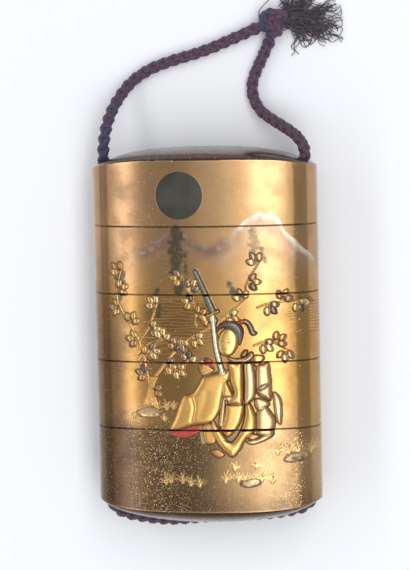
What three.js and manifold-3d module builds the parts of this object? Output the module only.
// An inro: a flat oval case of four stacked compartments under a lid, all threaded on one silk cord.
// Millimetres. The case lies on its back: +X right, +Y towards the lid, +Z up out of the decorated front.
// The origin is on the surface it lies on, below the middle of the case.
import * as THREE from "three";
import { mergeVertices } from "three/addons/utils/BufferGeometryUtils.js";
import Module from "manifold-3d";

const wasm = await Module();
wasm.setup();

// ---------------------------------------------------------------- driving sizes

// Cross-section: an oval of four tangent arcs.
const HALF_WIDTH = 27;
const HALF_DEPTH = 11;
const SIDE_RADIUS = 7.5;
const BROAD_STEPS = 10; // facets along each broad arc
const SIDE_STEPS = 8; // facets along each side arc

// Stack, from the bottom rim to the lid's rim.
const BOTTOM_RIM_Y = -41.2;
const BOTTOM_CASE_HEIGHT = 19.7;
const CASE_HEIGHT = 16.1;
const LID_HEIGHT = 15.5;
const SEAM_GAP = 0.12;
const SEAM_BEVEL = 0.15;
const LID_DOME = 2.85; // how far the domed ends stand beyond their rims
const BASE_DOME = 3.95;
const DOME_POWER = 1.8; // roundness of a dome from its rim to its middle
const DOME_SIDE_FALL = 0.75; // share of its height that a dome loses towards the sides
const DOME_INSETS = [0.3, 1.0, 2.2, 4.0, 6.5, 9.0];
const RIM_DROP = 2; // the rims fall away towards the sides, slowly and then fast
const RIM_DROP_POWER = 5;

// Risers, recesses and compartments.
const RISER_HALF_WIDTH = 21.2;
const RISER_INSET = 1.25; // shoulder that the next section's wall stands on
const RISER_CORNER = 8.1;
const RISER_HEIGHT = 4.0;
const RISER_WALL = 0.95;
const RISER_CLEARANCE = 0.15;
const RECESS_DEPTH = 4.2;
const FLOOR = 1.2;
const BASE_FLOOR_Y = -40.4;
const LID_CEILING_Y = 42.4;

// Cord and its two channels through the sides.
const CHANNEL_X = 24.3;
const CHANNEL_RADIUS = 1.65;
const CORD_RADIUS = 1.45;
const GROOVE_RADIUS = 1.75;
const CORD_SIDES = 8;
const CORD_GAP = 0.3;
const CORD_MOUTH_Y = 42;

// Raised lacquer on the front.
const ROBE_RAISE = 0.7;
const LEAF_RAISE = 0.4;
const STONE_RAISE = 0.6;
const RELIEF_ROOT = 0.5; // how deep a raised form is rooted in the wall

const broadRadius = (halfWidth, halfDepth, corner) =>
  ((halfWidth - corner) ** 2 + halfDepth ** 2 - corner ** 2) / (2 * (halfDepth - corner));
const BROAD_RADIUS = broadRadius(HALF_WIDTH, HALF_DEPTH, SIDE_RADIUS);
const CORNER_SHARE = SIDE_RADIUS / HALF_DEPTH;

// The back has a flat one facet of its arc wide on each side, so the case lies still.
const JUNCTION = Math.asin((HALF_WIDTH - SIDE_RADIUS) / (BROAD_RADIUS - SIDE_RADIUS));
const FLAT_DROP = BROAD_RADIUS * (1 - Math.cos((2 * JUNCTION) / BROAD_STEPS));
const MID_Z = HALF_DEPTH - FLAT_DROP;

// ---------------------------------------------------------------- solids

// A closed geometry as a manifold solid, turned inside out where its faces point inwards.
function solid(geometry) {
  const bare = geometry.index ? geometry.toNonIndexed() : geometry.clone();
  bare.deleteAttribute("normal");
  bare.deleteAttribute("uv");
  const merged = mergeVertices(bare, 1e-4);
  const triVerts = new Uint32Array(merged.index.array);
  const build = () =>
    new wasm.Manifold(
      new wasm.Mesh({ numProp: 3, vertProperties: merged.attributes.position.array, triVerts }),
    );
  let made = build();
  if (made.volume() < 0) {
    for (let i = 0; i < triVerts.length; i += 3) {
      [triVerts[i + 1], triVerts[i + 2]] = [triVerts[i + 2], triVerts[i + 1]];
    }
    made = build();
  }
  return made;
}

// Rings of equal point count, joined in order and closed by a face at each end.
// capAxes names the two coordinates that an end face is triangulated in.
function loft(rings, capAxes = ["x", "z"]) {
  const count = rings[0].length;
  const positions = rings.flat().flatMap((p) => [p.x, p.y, p.z]);
  const index = [];
  for (let r = 0; r + 1 < rings.length; r++) {
    for (let i = 0; i < count; i++) {
      const a = r * count + i;
      const b = r * count + ((i + 1) % count);
      index.push(a, b, a + count, b, b + count, a + count);
    }
  }
  const cap = (ring, offset, inRingOrder) => {
    const contour = ring.map((p) => new THREE.Vector2(p[capAxes[0]], p[capAxes[1]]));
    const clockwise = THREE.ShapeUtils.isClockWise(contour);
    if (clockwise) contour.reverse();
    const place = (i) => offset + (clockwise ? count - 1 - i : i);
    for (const corners of THREE.ShapeUtils.triangulateShape(contour, [])) {
      const face = corners.map(place);
      index.push(...(inRingOrder === clockwise ? face.reverse() : face));
    }
  };
  cap(rings[0], 0, false);
  cap(rings[rings.length - 1], (rings.length - 1) * count, true);
  const geometry = new THREE.BufferGeometry();
  geometry.setAttribute("position", new THREE.Float32BufferAttribute(positions, 3));
  geometry.setIndex(index);
  return solid(geometry);
}

function unite(solids) {
  return solids.reduce((all, next) => all.add(next));
}

// Points of a four-arc oval about the middle of the section, as (x, z) pairs.
function oval(halfWidth, halfDepth, corner = halfDepth * CORNER_SHARE) {
  const broad = broadRadius(halfWidth, halfDepth, corner);
  const junction = Math.asin((halfWidth - corner) / (broad - corner));
  const points = [];
  const arc = (cx, cz, radius, from, to, steps) => {
    for (let i = 0; i < steps; i++) {
      const angle = from + ((to - from) * i) / steps;
      points.push(new THREE.Vector2(cx + radius * Math.sin(angle), cz + radius * Math.cos(angle)));
    }
  };
  const side = halfWidth - corner;
  arc(0, halfDepth - broad, broad, -junction, junction, BROAD_STEPS);
  arc(side, 0, corner, junction, Math.PI - junction, SIDE_STEPS);
  arc(0, broad - halfDepth, broad, Math.PI - junction, Math.PI + junction, BROAD_STEPS);
  arc(-side, 0, corner, Math.PI + junction, 2 * Math.PI - junction, SIDE_STEPS);
  return points;
}

const outer = (inset) => oval(HALF_WIDTH - inset, HALF_DEPTH - inset, SIDE_RADIUS - inset);

// An oval placed across the case at height y, or at y(x) where its rim bows.
function ringAt(outline, y) {
  return outline.map((p) => {
    const level = typeof y === "function" ? y(p.x) : y;
    return new THREE.Vector3(p.x, level, Math.max(p.y + MID_Z, 0));
  });
}

const column = (outline, from, to) => loft([ringAt(outline, from), ringAt(outline, to)]);

function channel(x) {
  const hole = new THREE.Shape().absellipse(0, 0, CHANNEL_RADIUS, CHANNEL_RADIUS, 0, 2 * Math.PI);
  const long = 2 * (HALF_WIDTH + CORD_MOUTH_Y);
  const drill = new THREE.ExtrudeGeometry(hole, { depth: long, bevelEnabled: false, curveSegments: 4 });
  drill.rotateX(-Math.PI / 2);
  drill.translate(x, -long / 2, MID_Z);
  return solid(drill);
}

// The centre line of the cord across the base, from one channel round to the other.
// It bulges out at the left and sinks into its groove at the middle and the right.
function baseCrossing() {
  const way = [
    [-CHANNEL_X, -37], [-CHANNEL_X, -39.6], [-23.6, -41.8], [-21, -43.4], [-16, -44.4], [-10, -44.9],
    [-4, -44.5], [2, -43.9], [9, -43.7], [16, -43.1], [21.2, -42.1], [23.7, -40.8],
    [CHANNEL_X, -38.8], [CHANNEL_X, -37],
  ];
  return new THREE.SplineCurve(way.map(([x, y]) => new THREE.Vector2(x, y))).getSpacedPoints(26);
}

// A round bar along a path that stays at the middle height of the case.
function barAlong(path, radius) {
  const rings = path.map((point, k) => {
    const before = path[Math.max(k - 1, 0)];
    const after = path[Math.min(k + 1, path.length - 1)];
    const along = after.clone().sub(before).normalize();
    return Array.from({ length: CORD_SIDES }, (_, i) => {
      const angle = (2 * Math.PI * (i + 0.5)) / CORD_SIDES;
      const side = radius * Math.cos(angle);
      return new THREE.Vector3(
        point.x - along.y * side,
        point.y + along.x * side,
        MID_Z + radius * Math.sin(angle),
      );
    });
  });
  return loft(rings, ["x", "z"]);
}

// ---------------------------------------------------------------- raised design

// Height of the front surface over the lying plane.
function frontZ(x) {
  const reach = Math.abs(x);
  if (reach <= BROAD_RADIUS * Math.sin(JUNCTION)) {
    return MID_Z + HALF_DEPTH - BROAD_RADIUS + Math.sqrt(BROAD_RADIUS ** 2 - x ** 2);
  }
  return MID_Z + Math.sqrt(Math.max(SIDE_RADIUS ** 2 - (reach - HALF_WIDTH + SIDE_RADIUS) ** 2, 0));
}

// A raised patch: an outline of [x, y] points standing on the front. Its upright edge ends
// at a share of its height, and from there it slopes in to a top of the outline's size times edge.
function patch(outline, raise, edge = 0.8, upright = 0.35) {
  const middle = outline
    .reduce((sum, [x, y]) => sum.add(new THREE.Vector2(x, y)), new THREE.Vector2())
    .divideScalar(outline.length);
  const level = (height) => outline.map(([x, y]) => new THREE.Vector3(x, y, frontZ(x) + height));
  const sides = upright ? [level(-RELIEF_ROOT), level(raise * upright)] : [level(-RELIEF_ROOT)];
  const top = outline.map(([x, y]) => {
    const p = new THREE.Vector2(x, y).sub(middle).multiplyScalar(edge).add(middle);
    return new THREE.Vector3(p.x, p.y, frontZ(p.x) + raise);
  });
  return loft([...sides, top], ["x", "y"]);
}

// An oval outline of [x, y] points, turned by angle degrees.
function roundOutline(x, y, long, wide, angle, sides = 8) {
  const turn = THREE.MathUtils.degToRad(angle);
  return Array.from({ length: sides }, (_, i) => {
    const a = (2 * Math.PI * i) / sides;
    const p = new THREE.Vector2((long / 2) * Math.cos(a), (wide / 2) * Math.sin(a));
    p.rotateAround(new THREE.Vector2(), turn);
    return [x + p.x, y + p.y];
  });
}

// A strip along a line of points, widening or narrowing between its two ends.
function stripOutline(points, startWidth, endWidth) {
  const line = points.map(([x, y]) => new THREE.Vector2(x, y));
  const edge = (sign) =>
    line.map((p, i) => {
      const along = line[Math.min(i + 1, line.length - 1)].clone().sub(line[Math.max(i - 1, 0)]);
      along.normalize();
      const half = THREE.MathUtils.lerp(startWidth, endWidth, i / (line.length - 1)) / 2;
      return [p.x - sign * along.y * half, p.y + sign * along.x * half];
    });
  return [...edge(1), ...edge(-1).reverse()];
}

// Leaves in threes along a stem, to its left and right by turns.
function spray(stem, groups, size) {
  const curve = new THREE.SplineCurve(stem.map(([x, y]) => new THREE.Vector2(x, y)));
  const leaves = [];
  for (let g = 0; g < groups; g++) {
    const at = (g + 0.7) / groups;
    const node = curve.getPointAt(Math.min(at, 1));
    const heading = curve.getTangentAt(Math.min(at, 1)).angle();
    const side = g % 2 ? 1 : -1;
    for (const [turn, reach] of [[20, 1.0], [62, 1.25], [104, 1.0]]) {
      const direction = heading + side * THREE.MathUtils.degToRad(turn);
      const x = node.x + Math.cos(direction) * size * reach;
      const y = node.y + Math.sin(direction) * size * reach;
      const angle = THREE.MathUtils.radToDeg(direction);
      leaves.push(roundOutline(x, y, size * 1.15, size * 0.75, angle, 4));
    }
  }
  return leaves.map((outline) => patch(outline, LEAF_RAISE, 0.35, 0));
}

// Bush clover: a tall plant at the left, arching stems in the middle and sprigs at the right.
function bushClover() {
  const sprays = [
    { stem: [[-12.5, -15.5], [-12.5, -11.5], [-15, -0.5], [-18.5, 5.5], [-20.5, 11], [-19, 17]], groups: 8 },
    { stem: [[-15, -0.5], [-12.5, 3], [-10, 9.5]], groups: 2 },
    { stem: [[-11, -8.5], [-4.5, -1], [3, 3.5], [10.5, 9.5], [11, 13], [14.5, 19]], groups: 8 },
    { stem: [[-1, 3.5], [-1.5, 9], [-4.5, 15.5]], groups: 4 },
    { stem: [[-14, -5.5], [-12, -1.5], [-8.5, 0], [-4, 0]], groups: 3 },
    { stem: [[-8.5, -8], [-5, -6], [1, -4.5]], groups: 3 },
    { stem: [[13.5, 7.5], [16.5, 8.5], [23.5, 9]], groups: 3 },
    { stem: [[12.5, -1.5], [16, -0.5], [20.5, -3]], groups: 3 },
  ];
  return sprays.flatMap(({ stem, groups }) => spray(stem, groups, 1.75));
}

// A seated figure in court robes, turned to the right, with a long sword held upright.
function robedFigure() {
  const robe = (outline, raise = ROBE_RAISE) => patch(outline, raise, 0.82);
  const head = [
    patch(roundOutline(6.8, -0.4, 6.6, 5.2, 75, 12), ROBE_RAISE, 0.6),
    patch(stripOutline([[3.8, 2.4], [6.6, 4.2], [9.4, 2.4], [9.6, -0.7]], 1.4, 1), ROBE_RAISE + 0.15, 0.9),
    patch(stripOutline([[9.3, 4], [11.4, 4.4], [12.9, 1.5]], 1.2, 0.5), ROBE_RAISE * 0.7, 0.8),
  ];
  const dress = [
    robe([[6.2, -4], [9, -5.6], [12.3, -4.1], [9.2, -3.1]], ROBE_RAISE + 0.1),
    robe([[0.4, -8.2], [6.4, -7.2], [7.2, -10], [4.5, -16.6], [1, -19.8], [-8, -21.8], [-4.7, -13.4], [-2, -12]]),
    robe([[6.8, -5.8], [9.6, -5.8], [9.8, -15.4], [6.3, -15.2]], ROBE_RAISE - 0.1),
    robe([[10.1, -5.8], [12.6, -5.3], [12.8, -13.3], [11.3, -15.3], [10, -15.2]], ROBE_RAISE - 0.1),
    robe([[12.9, -3.9], [15.9, -5.9], [16.6, -12.7], [13.1, -13.5]]),
    robe([[16.9, -12.8], [18.6, -14.4], [18.4, -20.2], [17.5, -19.4]], ROBE_RAISE - 0.2),
    robe([[12.9, -14.1], [16, -15], [17.2, -18.9], [16.8, -22.7], [13, -23.8]]),
    robe([[1.6, -20.2], [4.8, -17.1], [6.3, -15.8], [6, -21.4], [6.7, -28.1], [3.4, -24.7]]),
    robe([[6.6, -15.8], [11.6, -15.6], [12.6, -18], [12.5, -22.3], [10.2, -24.6], [7.1, -27.9], [6.3, -21.4]]),
    patch(roundOutline(14.4, -11.1, 2.8, 1.3, 20), ROBE_RAISE + 0.25, 0.7),
    patch(roundOutline(3, -26.4, 3, 1.6, -40), ROBE_RAISE * 0.7, 0.7),
  ];
  const sword = [
    patch(stripOutline([[-0.8, 16.2], [2.9, 7.4]], 1.1, 1.5), ROBE_RAISE, 0.85),
    patch(roundOutline(2.9, 6.5, 3.2, 1.2, 12), ROBE_RAISE + 0.15, 0.8),
    patch(stripOutline([[3.1, 5.6], [3.5, -0.5], [4.8, -7]], 1.5, 1.3), ROBE_RAISE, 0.85),
  ];
  return [...head, ...dress, ...sword];
}

function stones() {
  return [
    patch(roundOutline(-12.6, -17.3, 7.6, 3.4, 4, 10), STONE_RAISE, 0.6),
    patch(roundOutline(21.4, -28.4, 5.4, 2.6, 6, 10), STONE_RAISE, 0.6),
    patch(roundOutline(11.2, -34.2, 5.6, 2.2, 8, 10), STONE_RAISE, 0.6),
  ];
}

const relief = unite([...bushClover(), ...robedFigure(), ...stones()]);

// The part of the raised design between two heights of the case.
function reliefBetween(from, to) {
  const slab = new THREE.BoxGeometry(4 * HALF_WIDTH, to - from, 4 * HALF_WIDTH);
  slab.translate(0, (from + to) / 2, MID_Z);
  return relief.intersect(solid(slab));
}

// ---------------------------------------------------------------- sections of the case

const riserOutline = (grow) =>
  oval(RISER_HALF_WIDTH + grow, HALF_DEPTH - RISER_INSET + grow, RISER_CORNER + grow);

// The rings of a domed end: facing is +1 at the lid and -1 at the base.
function domeRings(rimY, facing, domeHeight) {
  const drop = (x) => RIM_DROP * Math.abs(x / HALF_WIDTH) ** RIM_DROP_POWER;
  const rings = [ringAt(outer(0), (x) => rimY - facing * drop(x))];
  for (const inset of DOME_INSETS) {
    const share = 1 - inset / HALF_DEPTH;
    const rise = domeHeight * (1 - share ** DOME_POWER) ** (1 / DOME_POWER);
    const height = (x) => rise * (1 - DOME_SIDE_FALL * (x / HALF_WIDTH) ** 2) - drop(x);
    const outline = oval(HALF_WIDTH - inset, HALF_DEPTH - inset);
    rings.push(ringAt(outline, (x) => rimY + facing * height(x)));
  }
  return rings;
}

function wall(from, to) {
  return [
    ringAt(outer(SEAM_BEVEL), from),
    ringAt(outer(0), from + SEAM_BEVEL),
    ringAt(outer(0), to - SEAM_BEVEL),
    ringAt(outer(SEAM_BEVEL), to),
  ];
}

const channels = unite([channel(-CHANNEL_X), channel(CHANNEL_X)]);

// What every section but the bottom one has below: a recess for the riser under it.
const recessFrom = (y) => column(riserOutline(RISER_CLEARANCE), y - RECESS_DEPTH, y + RECESS_DEPTH);

function lid(seamY) {
  const from = seamY + SEAM_GAP / 2;
  const rimY = seamY + LID_HEIGHT;
  const rings = [...wall(from, rimY).slice(0, 2), ...domeRings(rimY, 1, LID_DOME)];
  return loft(rings)
    .add(reliefBetween(from + SEAM_BEVEL, rimY))
    .subtract(recessFrom(from))
    .subtract(column(riserOutline(-RISER_WALL), from, LID_CEILING_Y))
    .subtract(channels);
}

function middleCase(from, to) {
  const low = from + SEAM_GAP / 2;
  const high = to - SEAM_GAP / 2;
  const top = to + RISER_HEIGHT;
  return loft(wall(low, high))
    .add(reliefBetween(low + SEAM_BEVEL, high - SEAM_BEVEL))
    .add(column(riserOutline(0), to - 1, top))
    .subtract(recessFrom(low))
    .subtract(column(riserOutline(-RISER_WALL), low + RECESS_DEPTH + FLOOR, top + 1))
    .subtract(channels);
}

function bottomCase(to) {
  const high = to - SEAM_GAP / 2;
  const top = to + RISER_HEIGHT;
  const base = domeRings(BOTTOM_RIM_Y, -1, BASE_DOME).reverse();
  return loft([...base, ...wall(BOTTOM_RIM_Y, high).slice(2)])
    .add(reliefBetween(BOTTOM_RIM_Y, high - SEAM_BEVEL))
    .add(column(riserOutline(0), to - 1, top))
    .subtract(column(riserOutline(-RISER_WALL), BASE_FLOOR_Y, top + 1))
    .subtract(channels)
    .subtract(barAlong(baseCrossing(), GROOVE_RADIUS));
}

// ---------------------------------------------------------------- cord

// The stretch that the case holds: down one channel, across the base and up the other.
function heldCord() {
  const end = new THREE.Vector2(-CHANNEL_X, CORD_MOUTH_Y - CORD_GAP);
  const crossing = baseCrossing();
  return barAlong([end, ...crossing, new THREE.Vector2(-end.x, end.y)], CORD_RADIUS);
}

// A free stretch: a faceted tube along a smooth route of points.
function freeCord(route, steps, radius = CORD_RADIUS, sides = CORD_SIDES) {
  const section = new THREE.Shape(
    Array.from({ length: sides }, (_, i) => {
      const angle = (2 * Math.PI * i) / sides;
      return new THREE.Vector2(radius * Math.cos(angle), radius * Math.sin(angle));
    }),
  );
  const extrudePath = new THREE.CatmullRomCurve3(route.map((p) => new THREE.Vector3(...p)));
  return solid(new THREE.ExtrudeGeometry(section, { steps, bevelEnabled: false, extrudePath }));
}

const LEFT_ROUTE = [
  [-24.3, 42, 10.8], [-24.3, 45.6, 10.3], [-23.8, 50, 8.6], [-22.8, 53.8, 6.1], [-21.3, 56.9, 3.8],
  [-19.4, 59.6, 2.2], [-17, 61.7, 1.6], [-13.9, 63.5, 1.5], [-10.2, 64.9, 1.5], [-6.5, 66, 1.5],
  [-2.8, 67, 1.5], [0.8, 68.2, 1.5], [4.3, 69.6, 1.5], [7.8, 71, 1.6], [12, 72.8, 2.2],
];

const RIGHT_ROUTE = [
  [24.3, 42, 10.8], [23.9, 44.8, 10.3], [21.9, 47.4, 8.9], [18.6, 49.5, 7], [15.6, 51.2, 5],
  [13, 53, 3.2], [11.2, 55.8, 2], [10.7, 58.6, 1.6], [11.2, 61.2, 1.5], [12.4, 63.9, 1.5],
  [13.7, 66.6, 1.6], [15.1, 69.5, 2],
];

const KNOT_CENTRE = [16.5, 74.2, 3];
const KNOT_HALF = [4.2, 4.2, 2.95];

function knot() {
  const steps = 8;
  const profile = Array.from({ length: steps + 1 }, (_, i) => {
    const angle = -Math.PI / 2 + (Math.PI * i) / steps;
    return new THREE.Vector2(Math.max(Math.cos(angle), 1e-9), Math.sin(angle));
  });
  profile[0].x = 0;
  profile[steps].x = 0;
  const ball = new THREE.LatheGeometry(profile, 14);
  ball.rotateX(Math.PI / 2);
  ball.scale(...KNOT_HALF);
  ball.translate(...KNOT_CENTRE);
  return solid(ball);
}

// The two cut ends, teased out into limp strands that lie on the table beside the knot.
function frayedEnds() {
  const root = [21.4, 74.4, 1.6];
  const tips = [
    { by: [26.5, 73.8, 0.9], tip: [32.3, 72, 0.6] },
    { by: [26, 76, 0.9], tip: [30.6, 77.6, 0.6] },
    { by: [23.2, 77, 0.9], tip: [24.6, 81, 0.6] },
    { by: [25.2, 71.6, 0.9], tip: [28.2, 68.4, 0.6] },
    { by: [23.4, 70.2, 0.9], tip: [22.2, 66.4, 0.6] },
  ];
  return unite(tips.map(({ by, tip }) => freeCord([root, by, tip], 4, 0.6, 4)));
}

// ---------------------------------------------------------------- the scene graph

const inro = new THREE.Group();
inro.name = "inro";

function addMesh(name, made, color, roughness, metalness = 0) {
  const { vertProperties, triVerts } = made.getMesh();
  const geometry = new THREE.BufferGeometry();
  geometry.setAttribute("position", new THREE.BufferAttribute(vertProperties, 3));
  geometry.setIndex(new THREE.BufferAttribute(triVerts, 1));
  geometry.computeVertexNormals();
  const mesh = new THREE.Mesh(
    geometry,
    new THREE.MeshStandardMaterial({ color, roughness, metalness, flatShading: true }),
  );
  mesh.name = name;
  inro.add(mesh);
}

const GOLD_LACQUER = "#b9925f";
const BROWN_LACQUER = "#6b4d35";
const SILK = "#55465f";

const firstSeam = BOTTOM_RIM_Y + BOTTOM_CASE_HEIGHT;
const lidSeam = firstSeam + 3 * CASE_HEIGHT;

addMesh("lid", lid(lidSeam), GOLD_LACQUER, 0.35, 0.6);
for (let i = 0; i < 3; i++) {
  const to = lidSeam - i * CASE_HEIGHT;
  addMesh(`case_${i + 1}`, middleCase(to - CASE_HEIGHT, to), GOLD_LACQUER, 0.35, 0.6);
}
addMesh("case_4", bottomCase(firstSeam), BROWN_LACQUER, 0.35, 0.6);

addMesh("cord_held", heldCord(), SILK, 0.8);
addMesh("cord_left", freeCord(LEFT_ROUTE, 24), SILK, 0.8);
addMesh("cord_right", freeCord(RIGHT_ROUTE, 20), SILK, 0.8);
addMesh("cord_knot", knot(), SILK, 0.8);
addMesh("cord_frayed_ends", frayedEnds(), SILK, 0.8);

export default inro;
